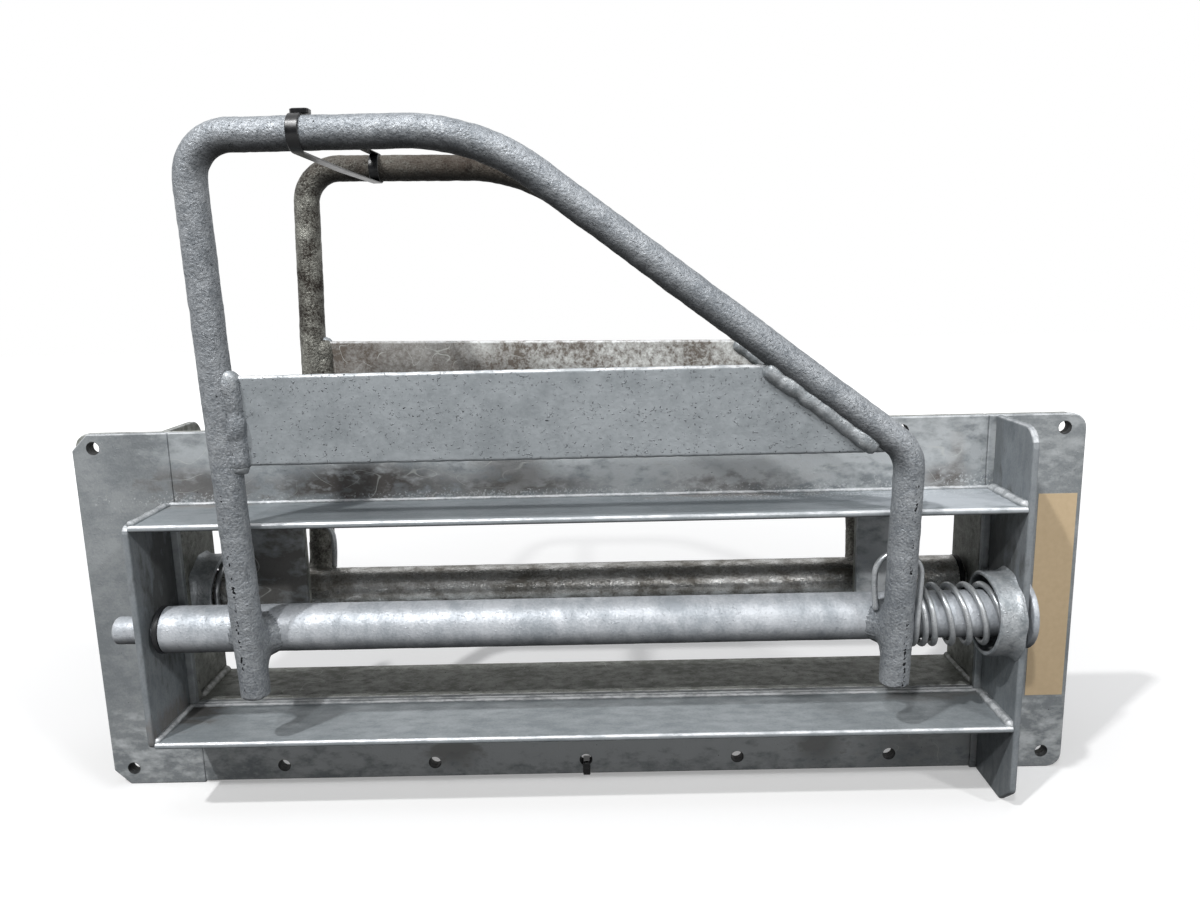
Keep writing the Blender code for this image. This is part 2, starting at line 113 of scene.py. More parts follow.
def from_hex(code):
    """An sRGB colour such as '#8a8f93' as linear RGBA."""
    parts = [int(code[i : i + 2], 16) / 255 for i in (1, 3, 5)]
    return (*[c / 12.92 if c <= 0.04045 else ((c + 0.055) / 1.055) ** 2.4 for c in parts], 1)


def add_node(tree, kind, inputs=(), out=0, **settings):
    """Adds a shader node and returns one output. An input is a value, or another node's output."""
    kind, _, operation = kind.partition(" ")
    made = tree.nodes.new("ShaderNode" + kind)
    for key, value in (settings | ({"operation": operation} if operation else {})).items():
        setattr(made, key, value)
    for key, value in inputs.items() if isinstance(inputs, dict) else enumerate(inputs):
        if isinstance(value, bpy.types.NodeSocket):
            tree.links.new(value, made.inputs[key])
        else:
            made.inputs[key].default_value = value
    return made.outputs[out] if made.outputs else made


def clean_tree(owner):
    """Empties the node tree of a material or a world, and returns the helper bound to it."""
    owner.use_nodes = True
    owner.node_tree.nodes.clear()
    return partial(add_node, owner.node_tree)


# A colour mix takes its factor and its two colours at these inputs, and gives one output.
MIX_FACTOR, MIX_A, MIX_B, MIX_RESULT = 0, 6, 7, 2
print("mid zinc grey in linear:", [round(c, 3) for c in from_hex("#8a8f93")])

# %% [markdown]
# ## Hot-dip galvanised steel
# Dull galvanised steel is zinc under a skin of grey zinc carbonate, a matt mineral with a little
# metal shining through, so it shows soft shadows as well as a blurred shine. Its patterns are
# sized in millimetres from object coordinates and stay on the steel when a gate swings. What lies
# on the zinc is a list of covers from 0 to 1, each with a colour. Dirt and patches of painted
# light and shade lie in ellipsoids with ragged edges. Rolled upper edges get a painted highlight,
# and undersides painted shade. Scratches are thin lines of a swirling noise, and show most on
# dirt, on the painted patches and on the painted underside shade.

# %% A blank material, patches of dirt or painted light, painted edge highlights and scratches


def blank_material(name):
    """A new material with an empty node tree, its place in millimetres and its normal."""
    material = bpy.data.materials.new(name)
    add = clean_tree(material)
    raw = add("TexCoord", out="Object")
    place = add("VectorMath SCALE", {0: raw, "Scale": 1 / MM})
    return material, add, place, add("TexCoord", out="Normal")


def dirt_and_painted_light(add, place, centre, reach, strength, noise, fine):
    """Cover of one ragged patch, of dirt or of painted light and shade, soft or as fine grains."""
    away = add("VectorMath SUBTRACT", (place, centre))
    away = add("VectorMath DIVIDE", (away, reach))
    away = add("VectorMath LENGTH", (away,), "Value")
    gain, low, high = (-8.0, -3.9, -4.5) if fine else (-2.4, -0.1, -0.75)
    away = add("Math MULTIPLY_ADD", (noise, gain, away))
    return add("MapRange", (away, low, high, 0, strength))


def painted_edge_highlight(add, facing_z, blotch, edge_highlight):
    """Cover of painted highlight where the skin turns from level to upright, broken up in patches."""
    rolled = add("MapRange", (facing_z, 0.1, 0.5, 0, edge_highlight))
    level = add("MapRange", (facing_z, 0.996, 0.94))
    rolled = add("Math MULTIPLY", (rolled, level))
    patchy = add("MapRange", (blotch, 0.4, 0.55, 0.35))
    return add("Math MULTIPLY", (rolled, patchy))


def scratches(add, swirl, broken, soil_and_painted_light, strength, on_clean):
    """Cover of thin lines along the middle level of a noise, broken up by a second noise."""
    swirl = add("Math SUBTRACT", (swirl, 0.5))
    swirl = add("Math ABSOLUTE", (swirl,))
    swirl = add("MapRange", (swirl, 0.008, 0.002))
    broken = add("MapRange", (broken, 0.46, 0.56, 0, strength))
    soiled_or_painted = add("MapRange", (soil_and_painted_light, 0, 0.4, on_clean))
    broken = add("Math MULTIPLY", (broken, soiled_or_painted))
    return add("Math MULTIPLY", (swirl, broken))


print("three kinds of marks")

# %% [markdown]
# ## Pits, knobs and painted shade in the bolt holes
# Where ash stuck in the bath the zinc has black pits, and where it froze in drops it has knobs:
# the two ends of one fine noise. On the bars most pits lie in a wandering line along the front of
# each leg, below the infill. A bolt hole's wall gets painted shade. The wall is found by folding
# the whole grid of holes onto one and measuring from its middle.

# %% Where pits line up, and painted shade in the holes


def pit_line(add, place, facing_x, facing_y, cloud, chain):
    """How much likelier a pit is, up to chain, on a line along the front of each leg."""
    x, _, z = (add("SeparateXYZ", (place,), axis) for axis in "XYZ")
    side = add("MapRange", (x, TALL_X, LOW_X, -0.28, 0.28))
    side = add("Math MULTIPLY_ADD", (cloud, 0.7, side))
    turned_to = add("Math ADD", (facing_x, 0.35))
    line = add("Math SUBTRACT", (turned_to, side))
    line = add("Math ABSOLUTE", (line,))
    line = add("MapRange", (line, 0.2, 0.04))
    aside = add("Math ABSOLUTE", (x,))
    for value, low, high, least, most in (
        (facing_y, -0.6, -0.8, 0, chain), (cloud, 0.44, 0.5, 0, 1),
        (aside, 150, 262, 0.3, 1), (z, 365, 335, 0, 1),
    ):
        share = add("MapRange", (value, low, high, least, most))
        line = add("Math MULTIPLY", (line, share))
    return line


def painted_hole_shade(add, place):
    """Cover of painted shade on the walls of the bolt holes, whose radius is 6 mm."""
    x, _, z = (add("SeparateXYZ", (place,), axis) for axis in "XYZ")
    middle, apart = sum(HOLE_ROWS) / 2, (HOLE_ROWS[1] - HOLE_ROWS[0]) / 2
    x = add("Math WRAP", (x, HOLE_PITCH / 2, -HOLE_PITCH / 2))
    z = add("Math SUBTRACT", (z, middle))
    z = add("Math ABSOLUTE", (z,))
    z = add("Math SUBTRACT", (z, apart))
    squared = add("Math MULTIPLY", (x, x))
    squared = add("Math MULTIPLY_ADD", (z, z, squared))
    return add("MapRange", (squared, 41, 38.5, 0, 0.9))


print("holes every", HOLE_PITCH, "mm in rows at", HOLE_ROWS, "mm")

# %% [markdown]
# ## One function for every zinc
# The zinc froze as it drained, so it has clouds of tone a hand wide, mottling of about a
# centimetre, and a pebble of 2 mm. The function mixes two tones, lays the marks, the painted
# shade and the painted highlight over them in order, and makes dirt, painted patches and the
# painted underside shade rougher and less metallic than zinc.

# %% Galvanised steel as a material
# Cover colours: painted underside shade, painted highlight, scratches, ash pits, and painted shade in the
# bolt holes.
UNDERSIDE_SHADE, PAINTED_HIGHLIGHT, SCRATCH, ASH, HOLE_SHADE = "#2b2927", "#f2f4f6", "#c4c6c2", "#26272a", "#1d1d1d"


def galvanised(name, dark, light, metallic, roughness, relief, clouds=70, mottle=9, pebble=2.2,
               streaks=(1, 1, 1), patches=(), underside_shade=0.5, pits=0.0, chain=0.0, scratched=0.0,
               on_clean=1.0, speckle=0.2, edge_highlight=0.0, shade_holes=False, knobs=0.7):
    """Zinc in two tones with its pebble's relief in mm, marks of time and the dip, and painted light."""
    material, add, place, normal = blank_material(name)
    facing_x, facing_y, facing_z = (add("SeparateXYZ", (normal,), axis) for axis in "XYZ")
    drawn = add("VectorMath MULTIPLY", (place, streaks))
    cloud, blotch, grain, broken, swirl, ash = (
        add("TexNoise", {"Vector": v, "Scale": 1 / size, "Detail": d, "Roughness": 0.6, "Distortion": warp})
        for v, size, d, warp in (
            (place, clouds, 2, 0), (drawn, mottle, 4, 0), (place, pebble, 2, 0),
            (place, 30, 2, 0), (drawn, 24, 0, 0.5), (place, 2.6, 1, 0),
        )
    )
    tone = 0.0
    for layer, share in ((cloud, 0.5 - speckle / 2), (blotch, 0.5 - speckle / 2), (grain, speckle)):
        tone = add("Math MULTIPLY_ADD", (layer, share, tone))
    coats = [(add("MapRange", (tone, 0.41, 0.59)), light)]

    soil_and_painted_light = 0.0
    # Patches of dirt, and patches of painted light and painted shade.
    for centre, reach, patch_tone, strength, fine in patches:
        cover = dirt_and_painted_light(add, place, centre, reach, strength, grain if fine else blotch, fine)
        coats.append((cover, patch_tone))
        if not fine:
            soil_and_painted_light = add("Math MAXIMUM", (cover, soil_and_painted_light))
    # Painted shade: faces that turn down are darkened, and made rougher and less metallic with the dirt.
    painted_underside_shade = add("MapRange", (facing_z, -0.05, -0.85, 0, underside_shade))
    soil_and_painted_light = add("Math MAXIMUM", (painted_underside_shade, soil_and_painted_light))
    coats.append((painted_underside_shade, UNDERSIDE_SHADE))
    # Painted highlight on the rolled upper edges.
    if edge_highlight:
        coats.append((painted_edge_highlight(add, facing_z, blotch, edge_highlight), PAINTED_HIGHLIGHT))
    if scratched:
        coats.append((scratches(add, swirl, broken, soil_and_painted_light, scratched, on_clean), SCRATCH))
    height = grain
    if pits:
        line = pit_line(add, place, facing_x, facing_y, cloud, chain)
        ash = add("Math ADD", (ash, line))
        pit = add("MapRange", (ash, pits, pits + 0.04))
        knob = add("MapRange", (ash, 0.34, 0.27))
        coats.append((pit, ASH))
        height = add("Math MULTIPLY_ADD", (pit, -0.6, grain))
        height = add("Math MULTIPLY_ADD", (knob, knobs, height))
    # Painted shade on the walls of the bolt holes.
    if shade_holes:
        coats.append((painted_hole_shade(add, place), HOLE_SHADE))

    colour = from_hex(dark)
    for cover, over in coats:
        mix = {MIX_FACTOR: cover, MIX_A: colour, MIX_B: from_hex(over)}
        colour = add("Mix", mix, MIX_RESULT, data_type="RGBA")
    rough, smooth = roughness + 0.1, roughness - 0.1
    rough = add("MapRange", (blotch, 0.3, 0.7, rough, smooth))
    rough = add("Math MULTIPLY_ADD", (soil_and_painted_light, 0.25, rough))
    bare = add("MapRange", (soil_and_painted_light, 0, 0.6, metallic, 0.02))
    bump = add("Bump", {"Height": height, "Strength": 1.0, "Distance": relief * MM})
    shader = add(
        "BsdfPrincipled",
        {"Base Color": colour, "Metallic": bare, "Roughness": rough, "Specular IOR Level": 0.3,
         "Specular Tint": (0.4, 0.4, 0.4, 1), "Normal": bump},
    )
    add("OutputMaterial", {"Surface": shader})
    return material


print("marks, from the lowest:", UNDERSIDE_SHADE, PAINTED_HIGHLIGHT, SCRATCH, ASH, HOLE_SHADE)

# %% [markdown]
# ## Where the dirt and painted light lie
# A patch is its centre and reach in millimetres, its colour, how much it covers, and whether it is
# fine grains. Brown dirt collects above the top shelf, white grains are zinc crust along the
# welds, and pale patches lighten the zinc. Patches of painted light and shade are marked below.

# %% Dirt, painted light and painted shade on the front unit
BROWN, GRAINS = "#51463e", "#d9dcde"
FLANGE_DIRT_AND_PAINTED_LIGHT = [
    ((-350, -6, 306), (58, 14, 20), BROWN, 0.55, False),
    ((-360, -6, 290), (70, 20, 6), GRAINS, 0.4, True),
    ((-200, -6, 304), (90, 14, 20), "#453c35", 0.8, False),
    ((-50, -6, 298), (100, 14, 13), "#4f463e", 0.7, False),
    ((140, -6, 300), (80, 14, 20), BROWN, 0.75, False),
    ((-60, -8, 290), (260, 20, 4), GRAINS, 0.4, True),
    ((240, -8, 290), (110, 20, 7), GRAINS, 0.35, True),
    ((340, -6, 298), (26, 14, 14), BROWN, 0.8, False),
    ((352, -6, 318), (9, 14, 30), "#6a5d52", 0.5, False),
    ((365, -6, 293), (26, 20, 8), GRAINS, 0.6, True),
    ((150, -6, 330), (330, 9, 50), "#c3c7c9", 0.7, False),
    ((-300, -6, 335), (90, 9, 30), "#b9bec1", 0.6, False),
    ((-60, -6, 316), (34, 9, 22), "#4d453e", 0.5, False),
    # Painted light on the bottom strip, which lies in the bottom shelf's shadow.
    ((0, -6, 38), (520, 9, 46), "#cfd3d5", 0.8, False),
    ((-130, -6, 30), (30, 9, 20), "#5d554d", 0.5, False),
    ((230, -6, 36), (24, 9, 30), "#5a534c", 0.5, False),
    # Painted shadow of the bottom shelf on the strip just below it.
    ((0, -6, 84), (400, 9, 12), "#3a3734", 0.4, False),
    # Painted shade in the corner by the tall end plate, on the bottom strip.
    ((330, -6, 50), (60, 9, 60), "#3d3936", 0.4, False),
    # Painted light on the right stop flat.
    ((287, 0, 215), (30, 20, 60), "#c9ccce", 0.8, False),
    ((-287, 0, 215), (40, 20, 60), "#453f38", 0.75, False),
]
SHELF_DIRT = [
    ((-350, -6, 286), (60, 20, 8), "#6a6058", 0.6, False),
    ((140, -8, 286), (90, 18, 8), "#6a5d52", 0.6, False),
    ((330, -40, 286), (90, 60, 8), "#bcc1c6", 0.7, False),
    ((230, -20, 286), (160, 14, 8), GRAINS, 0.7, True),
    ((-372, -14, 83), (30, 40, 10), "#4a4138", 0.7, False),
    ((340, -12, 83), (60, 16, 10), "#5d564c", 0.5, False),
]
INNER_DIRT_AND_PAINTED_SHADE = [
    # Painted shade on the tall end plate's inner face above the top shelf.
    ((386, -12, 320), (30, 16, 50), "#5d6060", 0.5, False),
    ((-386, -50, 90), (30, 50, 16), "#6b5f53", 0.5, False),
    # Painted shade: the upper backs of both end plates' inner faces are darkened.
    ((-386, -20, 210), (8, 55, 90), "#35342f", 0.7, False),
    ((386, -20, 210), (8, 60, 90), "#3d3c38", 0.65, False),
]
print(len(FLANGE_DIRT_AND_PAINTED_LIGHT + SHELF_DIRT + INNER_DIRT_AND_PAINTED_SHADE), "patches of dirt")

# %% [markdown]
# ## The finishes
# Each kind of piece drained and got dirty in its own way. The two tones are the ends of the zinc's
# clouds. The rear unit is browner and darker on the bars, and its tube is scratched, with tones
# raised as painted light for the shade that it sits in.

# %% Twelve galvanised finishes
# Every finish paints shade on its undersides; some also paint a highlight on rolled upper edges and shade
# in the bolt holes.
FLAT = galvanised(
    "hot_dip_zinc_on_flange", "#8a8f92", "#a2a6a8", 0.22, 0.5, 0.2, clouds=60, mottle=9,
    patches=FLANGE_DIRT_AND_PAINTED_LIGHT, streaks=(0.55, 1, 1), pits=0.8, scratched=0.5, on_clean=0.0, edge_highlight=0.6, shade_holes=True,
)
PLATE = galvanised(
    "hot_dip_zinc_on_end_plates", "#80868a", "#979ca0", 0.22, 0.5, 0.2, clouds=50, mottle=8,
    streaks=(1, 1, 0.4), patches=INNER_DIRT_AND_PAINTED_SHADE, edge_highlight=0.5,
)
SHELF = galvanised(
    "hot_dip_zinc_on_shelves", "#92999d", "#abb1b5", 0.35, 0.4, 0.2, clouds=80, mottle=9,
    streaks=(0.4, 1, 1), patches=SHELF_DIRT, underside_shade=0.85, edge_highlight=0.9,
)
FLAT_REAR = galvanised(
    "hot_dip_zinc_on_rear_flats", "#787a74", "#a3a5a0", 0.15, 0.55, 0.25, clouds=45, mottle=7,
    streaks=(0.6, 1, 1), scratched=0.5, pits=0.74, edge_highlight=0.4, shade_holes=True,
)
INFILL_ZINC = galvanised(
    "hot_dip_zinc_on_infill", "#989ea2", "#adb3b7", 0.24, 0.44, 0.45, clouds=110, mottle=16, pebble=5,
    pits=0.75, edge_highlight=0.9, knobs=2.5,
)
INFILL_REAR = galvanised(
    "hot_dip_zinc_on_rear_infill", "#6d665f", "#dadcda", 0.2, 0.5, 0.5, clouds=55, mottle=6,
    scratched=0.8, patches=[((-190, 110, 400), (110, 40, 60), "#4f463f", 0.6, False)], edge_highlight=0.5,
)
BAR = galvanised(
    "hot_dip_zinc_on_bar", "#83888d", "#aaaeb2", 0.42, 0.5, 1.2, clouds=40, mottle=7, pits=0.78,
    chain=0.25, underside_shade=0.85, speckle=0.42,
)
BAR_REAR = galvanised(
    "hot_dip_zinc_on_rear_bar", "#2f2a26", "#8f8f88", 0.42, 0.46, 1.4, clouds=50, mottle=11, pits=0.76,
    underside_shade=0.85, speckle=0.3, patches=[((-110, 118, 604), (170, 40, 26), "#443b34", 0.75, False)],
)
TUBE = galvanised(
    "hot_dip_zinc_on_tube", "#a4aab0", "#cdd1d6", 0.32, 0.5, 0.35, clouds=50, mottle=11,
    streaks=(1, 0.6, 0.6), pits=0.84, underside_shade=0.9,
)
# Painted light: the rear tube's tones are lighter than the front tube's, to make up for the shade that it
# sits in.
TUBE_REAR = galvanised(
    "hot_dip_zinc_on_rear_tube", "#8f8b84", "#f0f0ee", 0.6, 0.3, 0.4, clouds=40, mottle=8,
    streaks=(0.6, 1, 1), scratched=0.9, underside_shade=0.6,
)
WELD = galvanised(
    "hot_dip_zinc_on_welds", "#949a9e", "#b9bdc0", 0.4, 0.42, 0.6, clouds=20, mottle=5, pits=0.8,
)
WIRE = galvanised(
    "zinc_plated_spring_wire", "#a5a9ac", "#c6c9cb", 0.55, 0.34, 0.06, clouds=30, mottle=4, pebble=1.2,
)
COAT = {"front": (FLAT, INFILL_ZINC, BAR, TUBE), "rear": (FLAT_REAR, INFILL_REAR, BAR_REAR, TUBE_REAR)}
print(len(bpy.data.materials), "zinc finishes")

# %% [markdown]
# ## Nylon and paper
# The cable ties and the bushes are black nylon 6/6. Tie nylon is injection moulded and glossy, and
# the bushes are turned and matt. The label is kraft paper, bare of print.

# %% Nylon and paper materials


def plain_stuff(name, dark, light, grain, roughness, relief, coat=0.0):
    """A material with one soft grain in tone, roughness and relief, for nylon and paper."""
    material, add, place, _ = blank_material(name)
    speck = add("TexNoise", {"Vector": place, "Scale": 1 / grain, "Detail": 3})
    colour = {MIX_FACTOR: speck, MIX_A: from_hex(dark), MIX_B: from_hex(light)}
    rough = (speck, 0, 1, roughness - 0.08, roughness + 0.08)
    shader = add(
        "BsdfPrincipled",
        {"Base Color": add("Mix", colour, MIX_RESULT, data_type="RGBA"),
         "Roughness": add("MapRange", rough),
         "Normal": add("Bump", {"Height": speck, "Distance": relief * MM}), "Coat Weight": coat},
    )
    add("OutputMaterial", {"Surface": shader})
    return material


TIE_NYLON = plain_stuff("nylon_66_cable_tie", "#0c0d0f", "#151619", 6, 0.32, 0.05)
BUSH_NYLON = plain_stuff("nylon_66_turned_bush", "#17181a", "#26272a", 2, 0.5, 0.05)
LABEL_PAPER = plain_stuff("kraft_paper_label", "#cbb38f", "#dac3a0", 5, 0.7, 0.05)
print("black tie nylon, matt bush nylon and label paper")

# %% [markdown]
# ## Making meshes
# Round bar, wire, straps and weld beads are all one thing in mesh code: a ring of points carried
# along a path. A Blender curve with a bevel does the same, but its rings can't be made uneven
# where zinc has run. Here the rings are rows of a numpy array.

# %% Rings into closed meshes


def new_object(name, data):
    """An object in the scene for a mesh, a lamp or a camera."""
    made = bpy.data.objects.new(name, data)
    bpy.context.scene.collection.objects.link(made)
    return made


def face_out(verts, faces):
    """The same faces turned so that the closed mesh's normals point out, told by its volume."""
    verts = np.asarray(verts, float)
    halves = np.array([(f[0], j, k) for f in faces for j, k in zip(f[1:], f[2:])])
    a, b, c = (verts[halves[:, i]] for i in range(3))
    volume = np.einsum("ij,ij->", a, np.cross(b, c))
    return faces if volume > 0 else [tuple(reversed(f)) for f in faces]


def add_piece(name, verts, faces, body, material, replaces=(), smooth_angle=50):
    """A closed mesh in metres that rides on a CAD body and may stand for CAD nodes."""
    mesh = bpy.data.meshes.new(name)
    mesh.from_pydata([tuple(v) for v in verts], [], face_out(verts, faces))
    mesh.update()
    mesh.shade_smooth()
    mesh.set_sharp_from_angle(angle=math.radians(smooth_angle))
    piece = new_object(name, mesh)
    mesh.materials.append(material)
    if body:
        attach(piece, body)
    if replaces:
        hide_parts(*replaces)
    return piece


def ring_faces(rings, around, loop=False):
    """Quads between rings, and a fan over each end unless the rings close into a loop."""
    sides = [(j, (j + 1) % around) for j in range(around)]
    starts = [(i * around, (i + 1) % rings * around) for i in range(rings if loop else rings - 1)]
    faces = [(a + j, a + k, b + k, b + j) for a, b in starts for j, k in sides]
    if not loop:
        middle, last = rings * around, (rings - 1) * around
        faces += [f for j, k in sides for f in ((middle, k, j), (middle + 1, last + j, last + k))]
    return faces


print("a tube of two rings of four has", len(ring_faces(2, 4)), "faces with its ends")

# %% [markdown]
# ## An uneven skin
# Perlin noise from a seeded table makes the skin uneven. Along a bar, the rings' cross directions
# are carried from ring to ring without twisting.

# %% Noise, paths and round bar
dice = np.random.default_rng(7)
SHUFFLE = dice.permutation(256)
SLOPES = dice.normal(size=(256, 3))
SLOPES /= np.linalg.norm(SLOPES, axis=1)[:, None]


def rough_skin(points, size, seed):
    """Perlin noise from about -1 to 1 at points in millimetres, with lumps about size wide."""
    place = np.asarray(points, float) / size + [seed, 7.1 * seed, 3.3]
    cell = np.floor(place).astype(int)
    part = place - cell
    ease = part**3 * (part * (part * 6 - 15) + 10)
    total = np.zeros(len(place))
    for corner in np.ndindex(2, 2, 2):
        at = (cell + corner) & 255
        pick = SHUFFLE[(SHUFFLE[(SHUFFLE[at[:, 0]] + at[:, 1]) & 255] + at[:, 2]) & 255]
        share = np.prod(np.where(corner, ease, 1 - ease), axis=1)
        total += share * ((part - corner) * SLOPES[pick]).sum(axis=1)
    return total * 1.6


def lengths_along(path):
    """How far along the path each of its points lies."""
    return np.concatenate([[0], np.cumsum(np.linalg.norm(np.diff(path, axis=0), axis=1))])


def evenly(points, spacing):
    """The same path with points at an even spacing."""
    points = np.asarray(points, float)
    along = lengths_along(points)
    places = np.linspace(0, along[-1], max(int(along[-1] / spacing), 2) + 1)
    return np.stack([np.interp(places, along, points[:, i]) for i in range(3)], axis=1)


def cross_directions(path, first_side):
    """Unit sides and ups along a path, carried on without twisting."""
    tangents = np.gradient(path, axis=0)
    tangents /= np.linalg.norm(tangents, axis=1)[:, None]
    sides = np.zeros_like(path)
    side = np.asarray(first_side, float)
    for i, t in enumerate(tangents):
        side = side - np.dot(side, t) * t
        side /= np.linalg.norm(side)
        sides[i] = side
    return sides, np.cross(tangents, sides)


def round_bar(path, radius, around, first_side, end_round=0.0, lumps=(), taper=None):
    """Verts in mm and faces of a bar. lumps are (size, depth, seed), taper a factor per ring."""
    sides, ups = cross_directions(path, first_side)
    angles = np.linspace(0, math.tau, around, endpoint=False)
    outward = np.cos(angles)[None, :, None] * sides[:, None] + np.sin(angles)[None, :, None] * ups[:, None]
    along = lengths_along(path)
    radii = np.full(len(path), float(radius))
    if end_round:
        near_end = np.minimum(along, along[-1] - along)
        short = np.clip(1 - near_end / end_round, 0, 1)
        radii -= end_round * (1 - np.sqrt(1 - short**2))
    if taper is not None:
        radii = radii * taper
    ring = np.repeat(radii[:, None], around, axis=1)
    bare = (path[:, None] + outward * ring[..., None]).reshape(-1, 3)
    for size, depth, seed in lumps:
        ring += depth * rough_skin(bare, size, seed).reshape(ring.shape)
    verts = (path[:, None] + outward * ring[..., None]).reshape(-1, 3)
    verts = np.vstack([verts, path[0], path[-1]])
    return verts, ring_faces(len(path), around)


def corner_arc(corner, before, after, radius, steps):
    """Points of a bend that rounds one corner of a path."""
    corner, before, after = (np.asarray(p, float) for p in (corner, before, after))
    back, on = before - corner, after - corner
    back, on = back / np.linalg.norm(back), on / np.linalg.norm(on)
    half = math.acos(np.dot(back, on)) / 2
    centre = corner + (back + on) / np.linalg.norm(back + on) * radius / math.sin(half)
    first = corner + back * radius / math.tan(half) - centre
    last = corner + on * radius / math.tan(half) - centre
    sweep = math.pi - 2 * half
    return [
        centre + (math.sin((1 - t) * sweep) * first + math.sin(t * sweep) * last) / math.sin(sweep)
        for t in np.linspace(0, 1, steps + 1)
    ]


print("noise at one point:", rough_skin([(0.3, 0.7, 0.1)], 1, 0).round(3))

# %% [markdown]
# ## The hoops
# Each hoop is one solid bar, bent cold and dipped whole. The zinc lies unevenly on it, so the
# rings swell and shrink by a few tenths of a millimetre, over lumps of 5 and 16 mm. The finer
# pebble is in the material. Neither was bent quite square: the tall leg's top leans in a little.

# %% Both hoops


def hoop_path(rise):
    """The middle line of a hoop, from the foot of the tall leg to the other foot."""
    corners = [
        (TALL_X, LEG_END), (TALL_X + LEG_TILT, HOOP_TOP + rise), (SHOULDER_X, HOOP_TOP),
        (LOW_X, LOW_CORNER), (LOW_X, LEG_END),
    ]
    corners = [on_hoop(x, h) for x, h in corners]
    path = [corners[0]]
    for i, radius in enumerate(BENDS):
        path += corner_arc(corners[i + 1], corners[i], corners[i + 2], radius, 24)
    return evenly([*path, corners[-1]], 2.2)


for tag in ("front", "rear"):
    path = hoop_path(REAR_RISE if tag == "rear" else 0)
    lumps = [(16, 0.35, 3 if tag == "front" else 5), (5, 0.28, 9), (90, 0.3, 2)]
    verts, faces = round_bar(path, BAR_R - 0.1, 40, TOWARDS_TUBE, 3.2, lumps)
    verts = as_unit(tag, verts, other_hand=True)
    replaced, coat = [f"{tag}_hoop"], COAT[tag][2]
    piece = add_piece(f"{tag}_hoop_bar", verts, faces, f"{tag}_gate", coat, replaced)
    print(piece.name, len(piece.data.polygons), "faces")

# %% [markdown]
# ## Turned pieces on the hinge line
# The pivot tube, its shaft, the disc welded on the shaft's end, the bushes and the collar are all
# round about one line. Each is a profile of (x, radius) points turned about it, like work on a
# lathe. A tube's profile closes into a loop, and a shaft's ends on the axis.

# %% A lathe, and what it turns


def turned(tag, cad_name, ending, profile, around, loop, body, material, lumps=(), step=5.0,
           warp=None):
    """Turns a profile about the hinge line. warp(x, radius, angles) may bend rings out of true."""
    profile = np.array(profile, float)
    fine = []
    for a, b in zip(profile if loop else profile[:-1], np.roll(profile, -1, axis=0)):
        count = max(int(np.linalg.norm(b - a) / step), 1)
        fine += [a + (b - a) * i / count for i in range(count)]
    if not loop:
        fine.append(profile[-1])
    fine = np.array(fine)
    angles = np.linspace(0, math.tau, around, endpoint=False)
    x = np.repeat(fine[:, :1], around, axis=1)
    radius = np.repeat(fine[:, 1:], around, axis=1)
    if warp:
        x, radius = warp(x, radius, angles)
    for size, depth, seed in lumps:
        bare = np.stack([x, radius * np.cos(angles), radius * np.sin(angles)], axis=-1).reshape(-1, 3)
        radius = radius + depth * rough_skin(bare, size, seed).reshape(radius.shape)
    y, z = AXIS_Y + radius * np.cos(angles), AXIS_Z + radius * np.sin(angles)
    verts = np.stack([x, y, z], axis=-1).reshape(-1, 3)
    if not loop:
        verts = np.vstack([verts, [(end, AXIS_Y, AXIS_Z) for end in fine[[0, -1], 0]]])
    faces, name = ring_faces(len(fine), around, loop), f"{tag}_{cad_name}"
    return add_piece(f"{name}_{ending}", as_unit(tag, verts), faces, body, material, [name], 40)


def collar_warp(x, radius, angles):
    """The collar's rim is cut by hand, and the weld round its foot is uneven."""
    rim = np.clip((PLATE_IN - 8 - x) / 12, 0, 1)
    x = x + rim * (0.9 * np.cos(2 * angles + 0.6) + 0.4 * np.sin(3 * angles))
    foot = np.clip((x - (PLATE_IN - 8)) / 8, 0, 1) * (radius > COLLAR_R - 1)
    swell = 2.2 + 1.4 * np.sin(2 * angles + 1.0) + 1.2 * np.sin(5 * angles) + 0.7 * np.sin(11 * angles)
    return x, radius + foot**2 * swell


